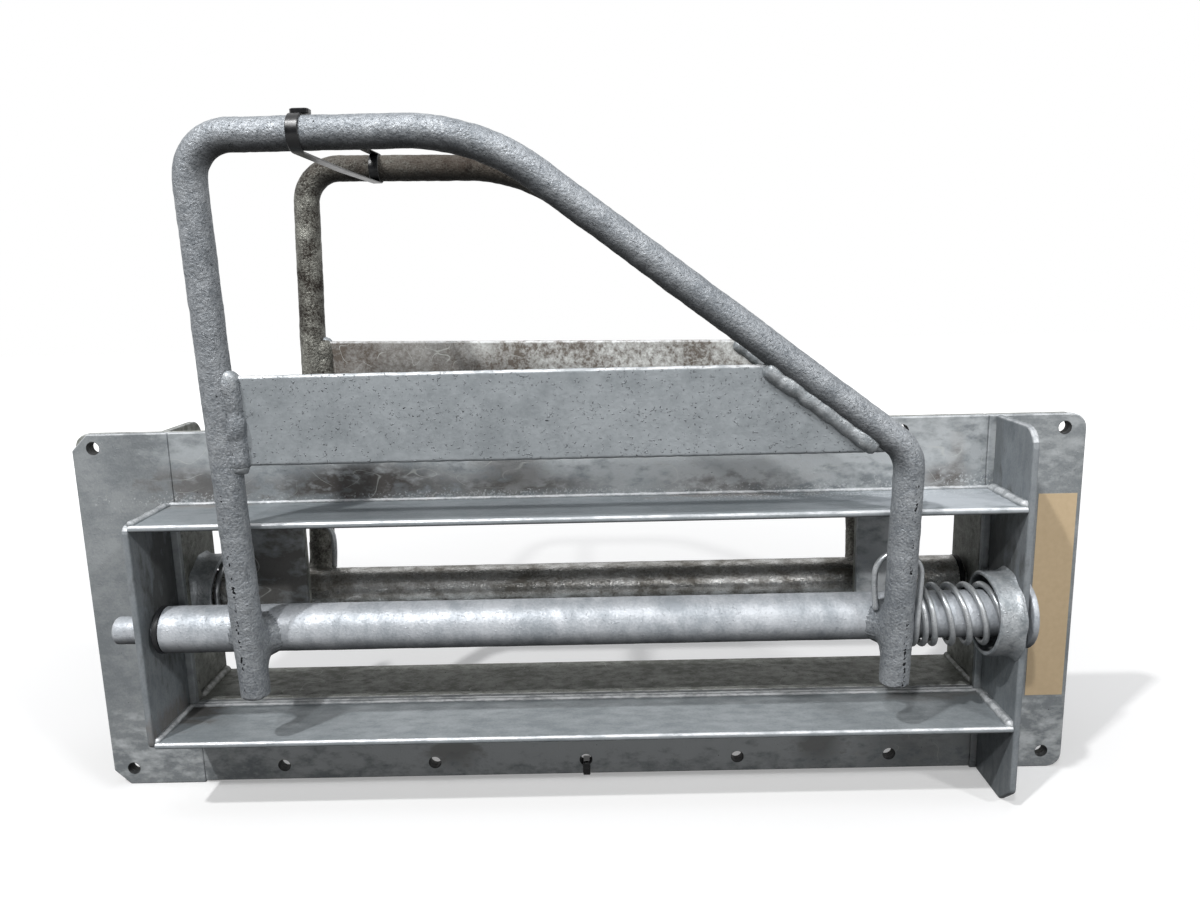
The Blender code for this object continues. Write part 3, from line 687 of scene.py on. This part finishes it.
DOME = [
    (SHAFT_TIP + DOME_RISE * (1 - math.cos(a)), SHAFT_R * math.sin(a))
    for a in np.linspace(0.12, math.pi / 2, 8)
]
INNER_R = COLLAR_R - COLLAR_WALL
for tag in ("front", "rear"):
    coat, gate = COAT[tag][3], f"{tag}_gate"
    shaft = [*DOME, (PLATE_IN + 10, SHAFT_R)]
    turned(tag, "pivot_shaft", "bar", shaft, 48, False, "frames", coat, [(9, 0.12, 4)])
    turned(
        tag, "shaft_head", "disc",
        [(401.5, 1), (401.5, HEAD_R - 1.2), (401.1, HEAD_R - 0.4), (400.3, HEAD_R), (397.2, HEAD_R),
         (396.4, HEAD_R - 0.4), (396, HEAD_R - 1.2), (396, 1)],
        72, False, "frames", coat, [(12, 0.1, 6)], 3.0,
    )
    turned(
        tag, "pivot_tube", "skin",
        [(-TUBE_HALF, TUBE_BORE), (-TUBE_HALF, TUBE_R - 0.8), (-TUBE_HALF + 0.8, TUBE_R),
         (TUBE_HALF - 0.8, TUBE_R), (TUBE_HALF, TUBE_R - 0.8), (TUBE_HALF, TUBE_BORE)],
        64, True, gate, coat, [(22, 0.16, 8), (8, 0.1, 11)], 4.0,
    )
    for side, sign in (("free", -1), ("spring", 1)):
        face, seat, tail = (sign * (TUBE_HALF + past) for past in (4.9, 0.3, -29.7))
        turned(
            tag, f"bush_{side}", "ring",
            [(face, BUSH_BORE), (face, BUSH_RIM - 0.7), (face - sign * 0.7, BUSH_RIM), (seat, BUSH_RIM),
             (seat, BUSH_SLEEVE), (tail, BUSH_SLEEVE), (tail, BUSH_BORE)],
            64, True, gate, BUSH_NYLON, step=8.0,
        )
    collar = turned(
        tag, "spring_collar", "ring",
        [(PLATE_IN, COLLAR_R + 1.6), (PLATE_IN - 2, COLLAR_R + 0.8), (PLATE_IN - 5, COLLAR_R + 0.2),
         (PLATE_IN - 8, COLLAR_R), (COLLAR_RIM + 1, COLLAR_R), (COLLAR_RIM, COLLAR_R - 0.9),
         (COLLAR_RIM, INNER_R + 0.7), (COLLAR_RIM + 0.7, INNER_R), (PLATE_IN, INNER_R)],
        80, True, "frames", WELD, [(10, 0.25, 5)], 2.0, collar_warp,
    )
    print(tag, "hinge line turned; collar has", len(collar.data.polygons), "faces")

# %% [markdown]
# ## The torsion springs
# The wire hooks round behind the leg, closes on the tube, and winds into the collar. Its passes
# along the front are uneven, and it leans as it goes, as in the CAD. Its path is smoothed with a
# Catmull-Rom spline. The coil turns with the gate at the hook and stays still in the collar.

# %% Both springs
PASSES = [296.3, 304.0, 311.5, 326.5, 341.5, 356.5, 371.5]
LEANS = [1.2, 1.5, 2.0, 3.3, 3.3, 3.3, 3.3]
WIRE_R, WIRE_STEP, COIL_R, TURNS, PER_TURN = 2.75, 1.6, 26.0, 6.25, 10
ARCH_X, ARCH_R, ARCH_Z, ARCH_Y = 278.7, 20.3, 226.0, -74.9
WIRE_END = (260.2, -75.4, 194.5)


def spring_points():
    """The wire's middle line on the front unit, coarse, as the CAD model has it."""
    points = [WIRE_END, (ARCH_X - ARCH_R, ARCH_Y, ARCH_Z - 12)]
    for angle in np.linspace(math.pi, 0, 9):
        points.append((ARCH_X + ARCH_R * math.cos(angle), ARCH_Y, ARCH_Z + ARCH_R * math.sin(angle)))
    start, arch_end = np.array([PASSES[0], AXIS_Y - COIL_R, AXIS_Z]), np.array(points[-1])
    points += [tuple(arch_end + (start - arch_end) * t) for t in (0.35, 0.7)]
    count = np.arange(len(PASSES))
    for i in range(round(TURNS * PER_TURN) + 1):
        turn = i / PER_TURN
        angle = math.tau * (turn + 0.25)
        base = np.interp(turn, count, PASSES) + max(turn - count[-1], 0) * (PASSES[-1] - PASSES[-2])
        lean = np.interp(turn, count, LEANS) * min(turn / 0.5, 1)
        out, up = COIL_R * math.sin(angle), COIL_R * math.cos(angle)
        points.append((base - lean * math.cos(angle), AXIS_Y - out, AXIS_Z + up))
    return np.array(points, float)


def catmull_rom(points, fine):
    """A smooth path through the points, with fine steps between each two."""
    p = np.vstack([2 * points[0] - points[1], points, 2 * points[-1] - points[-2]])
    path = []
    for a, b, c, d in zip(p, p[1:], p[2:], p[3:]):
        for t in np.arange(fine) / fine:
            curve = (2 * a - 5 * b + 4 * c - d) * t**2 + (3 * b - a - 3 * c + d) * t**3
            path.append(0.5 * (2 * b + (c - a) * t + curve))
    return np.array([*path, points[-1]])


for tag in ("front", "rear"):
    path = evenly(catmull_rom(spring_points(), 8), WIRE_STEP)
    verts, faces = round_bar(path, WIRE_R - 0.05, 16, (1, 0.2, 0), 0.9, [(6, 0.06, 2)])
    verts = as_unit(tag, verts)
    spring = add_piece(f"{tag}_torsion_spring", verts, faces, None, WIRE, [f"{tag}_spring"])
    start, end = as_unit(tag, [(x, AXIS_Y, AXIS_Z) for x in (PASSES[0], PASSES[-1])])
    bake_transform(spring)
    print(spring.name, round(len(path) * WIRE_STEP), "mm of wire")

# %% [markdown]
# ## Welds
# The welds show that this was made by hand. Where a leg crosses the pivot tube, zinc and weld
# metal fill the gap in a saddle. It is found by rays from the leg's middle line: each goes out
# until it leaves the smooth union of the two round bars. The other welds are beads, lumpy ropes
# half sunk in the corner that they fill.

# %% Saddles between legs and tube
SADDLE_REACH = 42


def saddle(tag, name, x, reach, seed):
    """The fillet round a leg where it is welded on the pivot tube."""
    heights = np.arange(-SADDLE_REACH, SADDLE_REACH + 0.1, 1.2)
    angles = np.linspace(0, math.tau, 120, endpoint=False)
    steps = np.arange(0, 22, 0.3)
    rings = []
    for h in heights:
        centre = on_hoop(x, h)
        fade = np.clip((SADDLE_REACH - abs(h)) / 12, 0, 1)
        ring = []
        for a in angles:
            way = math.cos(a) * np.array([1.0, 0, 0]) + math.sin(a) * TOWARDS_TUBE
            at = centre + (BAR_R - 0.5 + steps)[:, None] * way
            to_tube = np.hypot(at[:, 1] - AXIS_Y, at[:, 2] - AXIS_Z) - (TUBE_R - 0.5)
            meet = np.maximum(reach - abs(steps - to_tube), 0)
            union = np.minimum(steps, to_tube) - meet**2 / (4 * reach) * fade
            left = (union > 0) | (to_tube < -1.5)
            ring.append(at[np.argmax(left)] if left.any() else at[-1])
        rings.append(ring)
    verts = np.array(rings).reshape(-1, 3)
    middles = np.array([on_hoop(x, h) for h in heights])
    away = verts - np.repeat(middles, len(angles), axis=0)
    length = np.linalg.norm(away, axis=1)
    off_tube = np.hypot(verts[:, 1] - AXIS_Y, verts[:, 2] - AXIS_Z) - TUBE_R
    proud = np.clip((length - BAR_R) / 2, 0, 1) * np.clip(off_tube / 3, 0, 1)
    shift = proud * (0.7 * rough_skin(verts, 12, seed) + 0.1 * rough_skin(verts, 4, seed + 1))
    verts = verts + away / length[:, None] * shift[:, None]
    verts = as_unit(tag, np.vstack([verts, middles[0], middles[-1]]), other_hand=True)
    faces = ring_faces(len(heights), len(angles))
    return add_piece(name, verts, faces, f"{tag}_gate", COAT[tag][2])


for tag in ("front", "rear"):
    for side, x in (("tall", TALL_X), ("low", LOW_X)):
        piece = saddle(tag, f"{tag}_{side}_leg_weld", x, 24, 3 + x / 100)
        print(piece.name, "welds the leg to the tube")

# %% Beads along corners
BEAD_STEP = 1.3


def bead(tag, name, points, radius, body, material=WELD, seed=1.0, other_hand=False, ripple=5.0):
    """A lumpy rope of weld metal along points in mm, partly sunk in what it joins."""
    path = evenly(points, BEAD_STEP)
    wander = np.stack([rough_skin(path, 11, seed + i) for i in range(3)], axis=1) * radius * 0.12
    wander[0] = wander[-1] = 0
    path = path + wander
    along = np.arange(len(path)) * BEAD_STEP
    taper = 1 + 0.06 * np.sin(along * math.pi / ripple) ** 2 + 0.08 * rough_skin(path, 16, seed + 5)
    way = path[-1] - path[0]
    side = (0, 0, 1) if abs(way[2]) < 0.7 * np.linalg.norm(way) else (1, 0, 0)
    lumps = [(8, radius * 0.05, seed), (3, 0.2, seed)]
    verts, faces = round_bar(path, radius, 18, side, radius * 0.9, lumps, taper)
    return add_piece(name, as_unit(tag, verts, other_hand), faces, body, material, (), 70)


print("beads with a ring every", BEAD_STEP, "mm")

# %% [markdown]
# ## The infills
# The flat across each hoop is cut square against the tall leg and along the sloping bar. Its
# outline is shrunk ring by ring for the rolled edges, with corners kept sharp by holding every
# point within the four sides. The rear one was welded in a little askew, higher at its tall leg.

# %% How an infill is made
SLOPE = (LOW_CORNER - HOOP_TOP) / (LOW_X - SHOULDER_X)
DOWN = np.array([1, SLOPE]) / math.hypot(1, SLOPE)
INNER = np.array([DOWN[1], -DOWN[0]])


def beside_slope(height, off):
    """(x, height) of a point at that height, off millimetres inside the sloping bar's middle."""
    start = np.array([SHOULDER_X, HOOP_TOP]) + INNER * off
    return start + DOWN * (height - start[1]) / DOWN[1]


def infill_levels(tag, x):
    """Lower and upper edge of an infill at x; the rear one rises towards its tall leg."""
    rise = 3.5 + 0.0186 * (240 - x) if tag == "rear" else 0
    return INFILL[0] + rise, INFILL[1] + rise


def infill_flat(tag):
    """The flat across a hoop, with rolled edges that the zinc has made uneven."""
    left = TALL_X + BAR_R - 2
    (low, high), (low_right, _), (_, high_right) = (infill_levels(tag, x) for x in (left, 240, 140))
    right = [beside_slope(height, BAR_R - 2) for height in (low_right, high_right)]
    corners = [(left, low), *right, (left, high)]
    outline = []
    for (x0, h0), (x1, h1) in zip(corners, corners[1:] + corners[:1]):
        steps = int(math.hypot(x1 - x0, h1 - h0) / 2.5)
        outline += [(x0 + (x1 - x0) * i / steps, h0 + (h1 - h0) * i / steps) for i in range(steps)]
    outline, corners = np.array(outline), np.array(corners)
    sides = np.roll(corners, -1, axis=0) - corners
    outs = np.stack([sides[:, 1], -sides[:, 0]], axis=1) / np.linalg.norm(sides, axis=1)[:, None]
    uneven = 0.35 * rough_skin(np.column_stack([outline, np.zeros(len(outline))]), 9, 6)
    rings = []
    rolled = [(3 * math.sin(a), 2.4 * (1 - math.cos(a))) for a in np.radians(np.linspace(-90, 90, 9))]
    for depth, inset in [(-3, 9), (-3, 3.2), *rolled, (3, 3.2), (3, 9)]:
        ring = outline.copy()
        for corner, out in [*zip(corners, outs)] * 12:
            past = np.maximum((ring - corner) @ out + inset - (uneven if inset < 2 else 0), 0)
            ring -= past[:, None] * out
        rings.append([on_hoop(x, h, depth) for x, h in ring])
    middle = outline.mean(axis=0)
    verts = np.vstack([*rings, on_hoop(*middle, -3), on_hoop(*middle, 3)])
    verts = as_unit(tag, verts, other_hand=True)
    faces, coat, replaced = ring_faces(len(rings), len(outline)), COAT[tag][1], [f"{tag}_infill"]
    return add_piece(
        f"{tag}_infill_flat", verts, faces, f"{tag}_gate", coat, replaced, 60
    )


print("front infill's edges at", infill_levels("front", 0), "mm above the hinge line")

# %% [markdown]
# ## Infills and beads in place
# Each infill hangs on its hoop by two fat beads at the slope, two at the tall leg, and a drop of
# zinc at either corner there. Thin beads join the shelves to the flange and to the end plates.

# %% Both infills and all the beads
SHELF_TOPS = {"top": 285.5, "bottom": 82.7}
for tag in ("front", "rear"):
    infill_flat(tag)
    gate, zinc, bar_zinc = f"{tag}_gate", COAT[tag][0], COAT[tag][2]
    low, high = infill_levels(tag, TALL_X)
    end_low, end_high = infill_levels(tag, 170)
    for face, inwards in (("outer", 2.0), ("inner", -2.0)):
        slope = [on_hoop(*beside_slope(h, BAR_R + 1.5), inwards) for h in (end_high - 1, end_low + 3)]
        bead(tag, f"{tag}_slope_weld_{face}", slope, 7.4, gate, seed=2.0, other_hand=True, ripple=19)
        spots = (0.5, high + 2), (2.5, (low + high) / 2), (1.0, low - 5)
        leg = [on_hoop(TALL_X + BAR_R + off, h, inwards * 0.8) for off, h in spots]
        bead(tag, f"{tag}_leg_weld_{face}", leg, 8.6, gate, bar_zinc, seed=6.0, other_hand=True, ripple=31)
    for spot, x, h, reach, radius in (
        ("top", TALL_X + 14, high - 5, 10, 7.6), ("foot", TALL_X + 13, low + 1, 8, 8.0),
    ):
        drop = [on_hoop(x, h + reach, -2.5), on_hoop(x + 1.5, h - reach, -2.5)]
        bead(tag, f"{tag}_infill_{spot}_drop", drop, radius, gate, seed=x, other_hand=True, ripple=20)
    for level, z in SHELF_TOPS.items():
        for name, start, end, radius, seed in (
            ("weld", (-385, -7.4, z + 0.3), (385, -7.4, z + 0.3), 2.3, 3.0 + z),
            ("under_weld", (-385, -7.2, z - 6.2), (385, -7.2, z - 6.2), 2.0, 1.0 + z),
            ("short_weld", (-385, -79.5, z + 0.2), (-385, -8, z + 0.2), 3.4, z - 385),
            ("tall_weld", (384.8, -79.5, z + 0.2), (384.8, -8, z + 0.2), 5.0, 384.8 + z),
        ):
            bead(tag, f"{tag}_shelf_{level}_{name}", [start, end], radius, "frames", zinc, seed=seed)
    for side, x, low, high in (("short", -392.4, 79, 283), ("tall", 392.4, 6, 350)):
        up = [(x, -7.6, low), (x, -7.6, high)]
        bead(tag, f"{tag}_{side}_plate_weld", up, 2.6, "frames", zinc, seed=x)

# %% [markdown]
# ## Cable ties
# A nylon tie is a strap that runs through a moulded head, where a pawl holds its teeth. The strap
# is a flat rounded section carried along its path. The long tie goes round both top bars. The CAD
# model parts it in the middle between the two gates, so each half rides on its own gate.

# %% Straps and heads


def cut_corners(w, h, cut):
    """The eight corners of a rectangle of half sizes w and h whose own corners are cut off."""
    return np.array([(w - cut, -h), (w, cut - h), (w, h - cut), (w - cut, h),
                     (cut - w, h), (-w, h - cut), (-w, cut - h), (cut - w, -h)])


def strap_piece(name, path, width, thick, body, replaces):
    """A flat strap in mm along a path in a plane of constant x."""
    path = evenly(path, 0.8)
    sides, ups = cross_directions(path, (1, 0, 0))
    section = cut_corners(width / 2, thick / 2, thick * 0.45)
    verts = path[:, None] + section[None, :, :1] * sides[:, None] + section[None, :, 1:] * ups[:, None]
    verts = np.vstack([verts.reshape(-1, 3), path[0], path[-1]]) * MM
    faces = ring_faces(len(path), len(section))
    return add_piece(name, verts, faces, body, TIE_NYLON, replaces, 30)


def tie_head(name, centre, size, body):
    """The moulded head, a small block with bevelled edges and a slot for the strap's end."""
    x, y, z = (s / 2 for s in size)
    rings = []
    for height, inset in (
        (-1, 0.25), (-0.75, 0.05), (0.7, 0.05), (0.92, 0.18), (1, 0.3), (1, 0.55), (0.55, 0.6),
    ):
        a, b = x * (1 - inset), y * (1 - inset)
        rings.append([(u, v, height * z) for u, v in cut_corners(a, b, 0.3 * min(a, b))])
    verts = np.array(rings).reshape(-1, 3)
    verts = (np.vstack([verts, (0, 0, -z), (0, 0, 0.55 * z)]) + centre) * MM
    return add_piece(name, verts, ring_faces(len(rings), 8), body, TIE_NYLON, (), 35)


# %% The long tie and the short one
TIE_X, TIE_WIDTH, TIE_THICK, HALF_GAP = -199.5, 9.6, 1.4, 0.3
_, bar_y, bar_z = on_hoop(TIE_X, HOOP_TOP)
line = BAR_R + 0.3 + TIE_THICK / 2


def around_bar(y, z, first, last, radius=line):
    """Points of an arc about a top bar, in degrees."""
    turn = np.radians(np.linspace(first, last, 40))
    return [(TIE_X, y + radius * math.cos(a), z + radius * math.sin(a)) for a in turn]


top, bottom = bar_z + line, bar_z - line
front = [(TIE_X, -HALF_GAP, top), *around_bar(bar_y, bar_z, 90, 270), (TIE_X, -HALF_GAP, bottom)]
strap_piece("front_long_tie", front, TIE_WIDTH, TIE_THICK, "front_gate", ["top_tie_front"])
tie_head("front_long_tie_head", (TIE_X + 2.5, bar_y + 3.5, top + 2.3), (15, 9.5, 4.2), "front_gate")
rear_z = bar_z + REAR_RISE * (TIE_X - SHOULDER_X) / (TALL_X - SHOULDER_X)
rear = [(TIE_X, HALF_GAP, top), *around_bar(-bar_y, rear_z, 90, -90), (TIE_X, HALF_GAP, bottom)]
strap_piece("rear_long_tie", rear, TIE_WIDTH, TIE_THICK, "rear_gate", ["top_tie_rear"])
band = around_bar(-bar_y, rear_z, 96, 264, line - 0.1)
strap_piece("rear_long_tie_band", band, TIE_WIDTH, TIE_THICK * 0.9, "rear_gate", ())

low, high, side = 1.0, 13.7, 7.15
loop = [(0.5, -side, low), (0.5, side, low), (0.5, side, high), (0.5, -side, high)]
loop_path = []
for i, corner in enumerate(loop):
    loop_path += corner_arc(corner, loop[i - 1], loop[(i + 1) % 4], 1.6, 5)
strap_piece("short_tie", [*loop_path, loop_path[0]], 7.0, 1.4, "frames", ["bottom_tie"])
tie_head("short_tie_head", (0.5, -side - 2.3, high - 0.2), (7.2, 4.4, 6.4), "frames")
print("three straps and two heads")

# %% [markdown]
# ## The label
# A paper label sticks to the front unit's end strip. It is 36 by 202 mm and about 0.4 mm thick
# with its glue, and it is left blank. A flat sheet would look painted on, so it is a fine grid
# with a slight ripple.

# %% A blank paper label
LABEL_X, LABEL_Z, LABEL_Y = (430.0, 466.0), (76.5, 278.5), -6.15
columns, rows = 13, 61
xs, zs = np.linspace(*LABEL_X, columns), np.linspace(*LABEL_Z, rows)
face = np.array([(x, LABEL_Y - 0.35, z) for z in zs for x in xs])
face[:, 1] -= 0.12 * rough_skin(face, 30, 4)
back = face * [1, 0, 1] + [0, LABEL_Y - 0.02, 0]
rings = np.concatenate([face.reshape(rows, columns, 3), back.reshape(rows, columns, 3)[:, ::-1]], axis=1)
verts = np.vstack([rings.reshape(-1, 3), rings[0].mean(axis=0), rings[-1].mean(axis=0)]) * MM
faces = ring_faces(rows, 2 * columns)
add_piece("blank_label", verts, faces, "frames", LABEL_PAPER, (), 30)
print("label of", LABEL_X[1] - LABEL_X[0], "by", LABEL_Z[1] - LABEL_Z[0], "mm")

# %% [markdown]
# ## Finish of the flats
# The frames' flats keep their CAD shape, which has rolled edges and drilled holes. Only their
# material changes. All other CAD nodes have been replaced by now.

# %% Galvanised finish on the CAD flats
for name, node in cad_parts.items():
    if not node.hide_render:
        tag, kind, *_ = name.split("_")
        special = {"shelf": SHELF, "end": PLATE} if tag == "front" else {}
        node.material_slots[0].material = special.get(kind, COAT[tag][0])
print("refinished:", sum(not n.hide_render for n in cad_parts.values()), "flats")

# %% [markdown]
# ## Floor, light and camera
# The background is plain white. The pale floor takes the shadow, and a glow that only the camera
# and reflections see lifts it to the background. Two small lamps at the left draw the crisp
# shadows: the steep one throws the infill's shadow on the top shelf, and the low one those of the
# legs' ends on the bottom shelf. A weak lamp far to the right softens them, a low wide one in
# front fills the shelves' undersides, and a wide one hangs overhead. A dark flag behind the
# camera keeps the fronts from going white.

# %% Floor and world
GLOW, FLOOR_TONE, FLOOR_BOUNCE, AMBIENT = 0.3, 0.72, 0.12, 0.07


def stage_sheet(name, corners, material):
    """A single face that is part of the studio and not of the object."""
    mesh = bpy.data.meshes.new(name)
    mesh.from_pydata(corners, [], [(0, 1, 2, 3)])
    mesh.materials.append(material)
    sheet = new_object(name, mesh)
    return sheet


def seen_rays(add):
    """1 for what the camera sees, also in gloss and through clear things, and 0 for light itself."""
    rays = [add("LightPath", out=f"Is {kind} Ray") for kind in ("Camera", "Glossy", "Transmission")]
    direct = add("Math MAXIMUM", (rays[0], rays[1]))
    return add("Math MAXIMUM", (direct, rays[2]))


floor_paint, add, place, _ = blank_material("pale_floor")
far = add("VectorMath LENGTH", (place,), "Value")
far = add("MapRange", (far, 500, 2200, GLOW, 1.0))
glow = add("Math MULTIPLY", (seen_rays(add), far))
tones = {MIX_FACTOR: add("LightPath", out="Is Camera Ray"), MIX_A: (*[FLOOR_BOUNCE] * 3, 1),
         MIX_B: (*[FLOOR_TONE] * 3, 1)}
shader = add(
    "BsdfPrincipled",
    {"Base Color": add("Mix", tones, MIX_RESULT, data_type="RGBA"), "Roughness": 0.9,
     "Specular IOR Level": 0.0, "Emission Color": (1, 1, 1, 1), "Emission Strength": glow},
)
add("OutputMaterial", {"Surface": shader})
stage_sheet("floor", [(-6, -6, 0), (6, -6, 0), (6, 6, 0), (-6, 6, 0)], floor_paint)

world = bpy.data.worlds.new("studio")
bpy.context.scene.world = world
add = clean_tree(world)
strength = add("MapRange", (seen_rays(add), 0, 1, AMBIENT, 1.0))
add("OutputWorld", {"Surface": add("Background", {"Color": (1, 1, 1, 1), "Strength": strength})})
print("ambient level", AMBIENT)

# %% A dark flag behind the camera
flag_cloth, add, _, _ = blank_material("black_flag_cloth")
add("OutputMaterial", {"Surface": add("BsdfDiffuse", {"Color": from_hex("#3a3a3c")})})
flag = stage_sheet("flag", [(-5, -4.2, 0), (5, -4.2, 0), (5, -4.2, 3.0), (-5, -4.2, 3.0)], flag_cloth)
flag.visible_camera = False
print("a flag of 10 by 3 m")

# %% Lamps


def area_lamp(name, place, size, watts, target=(0, 0, 0.2), tint="#ffffff"):
    """A rectangular soft lamp at a place, turned to a target, in metres."""
    data = bpy.data.lights.new(name, "AREA")
    data.shape = "RECTANGLE"
    data.size, data.size_y = size
    data.energy = watts
    data.color = from_hex(tint)[:3]
    lamp = new_object(name, data)
    lamp.location = place
    lamp.rotation_euler = (Vector(target) - Vector(place)).to_track_quat("-Z", "Y").to_euler()


area_lamp("steep_key", (-1.53, -1.8, 3.6), (0.14, 0.14), 92)
area_lamp("low_key", (-1.06, -3.1, 3.4), (0.16, 0.16), 60)
area_lamp("far_right", (2.1, -2.1, 2.4), (0.3, 0.3), 33)
area_lamp("low_fill", (0.5, -2.4, 0.75), (1.2, 0.5), 8.5, target=(0, 0, 0.25))
area_lamp("overhead", (0.2, -0.3, 2.3), (1.6, 0.6), 9, tint="#f4f8ff")
print("five lamps")

# %% Camera at the photograph's place
CAMERA_AT = (0.026668, -0.826063, 0.485186)
YAW, PITCH, ROLL = -0.007, 0.188, -0.023
ahead = Vector((math.sin(YAW) * math.cos(PITCH), math.cos(YAW) * math.cos(PITCH), -math.sin(PITCH)))
level = Vector((math.cos(YAW), -math.sin(YAW), 0))
above = level.cross(ahead)
right = math.cos(ROLL) * level + math.sin(ROLL) * above
top = -math.sin(ROLL) * level + math.cos(ROLL) * above
camera_data = bpy.data.cameras.new("photo_camera")
camera_data.lens, camera_data.sensor_width = 27, 36
camera = new_object("photo_camera", camera_data)
turn = Matrix((right, top, -ahead)).transposed()
camera.matrix_world = Matrix.Translation(CAMERA_AT) @ turn.to_4x4()
bpy.context.scene.camera = camera
bpy.context.scene.view_settings.view_transform = "Standard"
print("camera at", [round(c, 3) for c in camera.location], "m")
